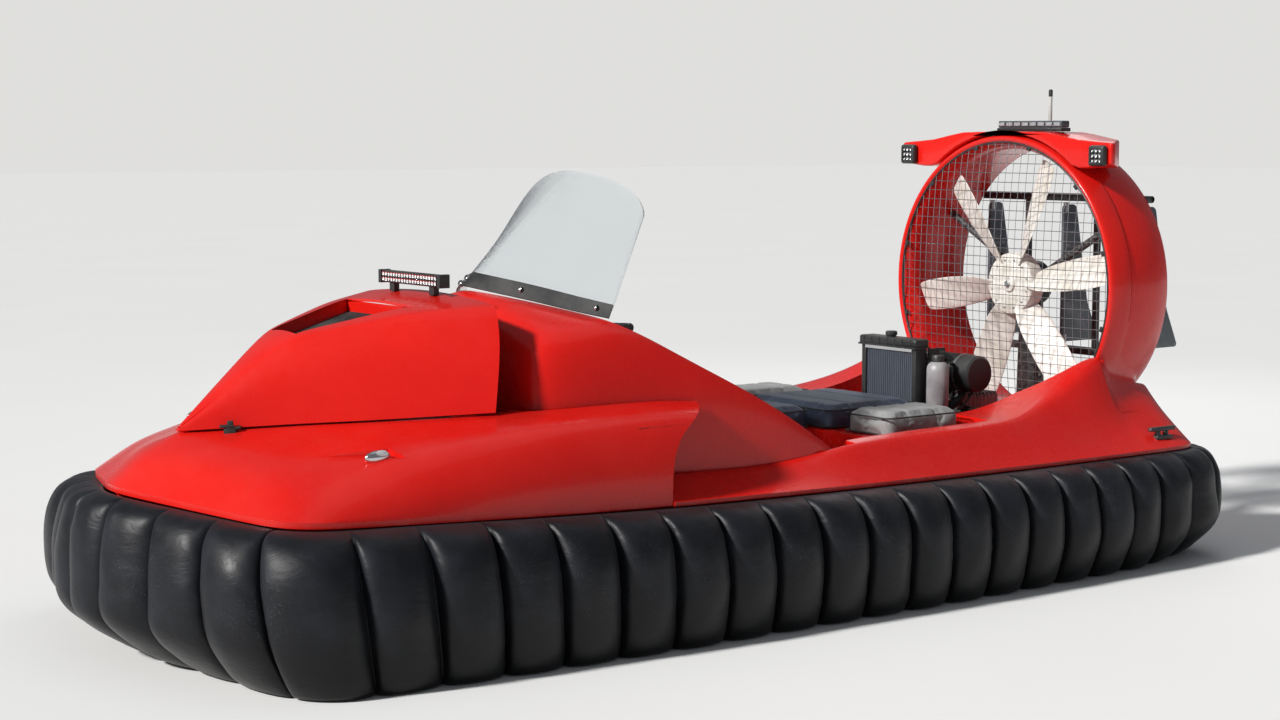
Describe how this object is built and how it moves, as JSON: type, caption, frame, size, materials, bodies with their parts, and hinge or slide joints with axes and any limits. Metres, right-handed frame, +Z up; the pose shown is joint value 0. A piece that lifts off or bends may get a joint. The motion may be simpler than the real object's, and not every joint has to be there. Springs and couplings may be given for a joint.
{
  "type": "hovercraft",
  "caption": "Open-cockpit rescue hovercraft with an inflated fingered skirt, a front hood, straddle seats and a ducted fan with steering rudders at the stern.",
  "frame": {"origin": "on the floor, below the middle of the whole length and width", "axes": "+Z up, the bow towards -Y, the stern towards +Y, the port side towards +X"},
  "size_m": [2.131, 4.78, 1.894],
  "materials": {
    "hull_gelcoat": "glossy red moulding",
    "skirt_fabric": "coated fabric, satin",
    "black_plastic": "satin black",
    "clear_sheet": "clear sheet",
    "seat_vinyl": "grained vinyl",
    "fan_paint": "satin cream paint",
    "dark_steel": "black paint",
    "cast_metal": "cast, grey",
    "lamp_lens": "clear lens",
    "chrome_trim": "polished",
    "milky_plastic": "translucent",
    "rudder_paint": "satin blue-grey",
    "dusty_rubber": "satin"
  },
  "bodies": {
    "root": {"hull_pan": "hull_gelcoat", "forebody": "hull_gelcoat", "cowl": "hull_gelcoat", "side_arm_port": "hull_gelcoat", "side_arm_starboard": "hull_gelcoat", "deck_aft": "hull_gelcoat", "duct": "hull_gelcoat", "duct_roof": "hull_gelcoat", "seat_base": "hull_gelcoat", "skirt_port": "skirt_fabric", "skirt_starboard": "skirt_fabric", "skirt_bow": "skirt_fabric", "skirt_stern": "skirt_fabric", "skid_port": "dusty_rubber", "skid_centre": "dusty_rubber", "skid_starboard": "dusty_rubber", "dash_panel": "black_plastic", "screen_strip": "black_plastic", "windscreen": "clear_sheet", "lift_engine": "cast_metal", "engine_block": "cast_metal", "steering_column": "dark_steel", "seat_front": "seat_vinyl", "seat_rear": "seat_vinyl", "seat_port": "seat_vinyl", "seat_starboard": "seat_vinyl", "engine_bed": "dark_steel", "radiator": "dark_steel", "expansion_bottle": "milky_plastic", "air_filter": "black_plastic", "scene_light_port": "black_plastic", "scene_light_starboard": "black_plastic", "warning_bar": "lamp_lens", "antenna": "milky_plastic", "fan_pylon": "dark_steel", "fan_guard": "dark_steel", "rudder_frame": "dark_steel", "nav_light_port": "chrome_trim", "nav_light_starboard": "chrome_trim"},
    "fan": {"fan_rotor": "fan_paint"},
    "hood": {"hood": "hull_gelcoat", "hood_grille": "black_plastic", "bow_light_bar": "black_plastic"},
    "handlebar": {"handlebar": "black_plastic"},
    "rudder_port": {"rudder_port": "rudder_paint"},
    "rudder_centre": {"rudder_centre": "rudder_paint"},
    "rudder_starboard": {"rudder_starboard": "rudder_paint"}
  },
  "joints": [
    {"name": "fan_spin", "type": "hinge", "parent": "root", "child": "fan", "pos_m": [0, 1.85, 1.067], "axis": [0, 1, 0], "continuous": true},
    {"name": "hood_lift", "type": "hinge", "parent": "root", "child": "hood", "pos_m": [0, -1.03, 1.15], "axis": [-1, 0, 0], "range_deg": [0, 55]},
    {"name": "handlebar_turn", "type": "hinge", "parent": "root", "child": "handlebar", "pos_m": [0, -0.498, 0.917], "axis": [0, 0.342, 0.9397], "range_deg": [-35, 35]},
    {"name": "rudder_port_swing", "type": "hinge", "parent": "root", "child": "rudder_port", "pos_m": [0.445, 2.172, 1.067], "axis": [0, 0, 1], "range_deg": [-30, 30]},
    {"name": "rudder_centre_swing", "type": "hinge", "parent": "root", "child": "rudder_centre", "pos_m": [0, 2.172, 1.067], "axis": [0, 0, 1], "range_deg": [-30, 30]},
    {"name": "rudder_starboard_swing", "type": "hinge", "parent": "root", "child": "rudder_starboard", "pos_m": [-0.445, 2.172, 1.067], "axis": [0, 0, 1], "range_deg": [-30, 30]}
  ],
  "couplings": [
    {"joint": "rudder_port_swing", "follows": "handlebar_turn", "ratio": -0.8},
    {"joint": "rudder_centre_swing", "follows": "handlebar_turn", "ratio": -0.8},
    {"joint": "rudder_starboard_swing", "follows": "handlebar_turn", "ratio": -0.8}
  ]
}
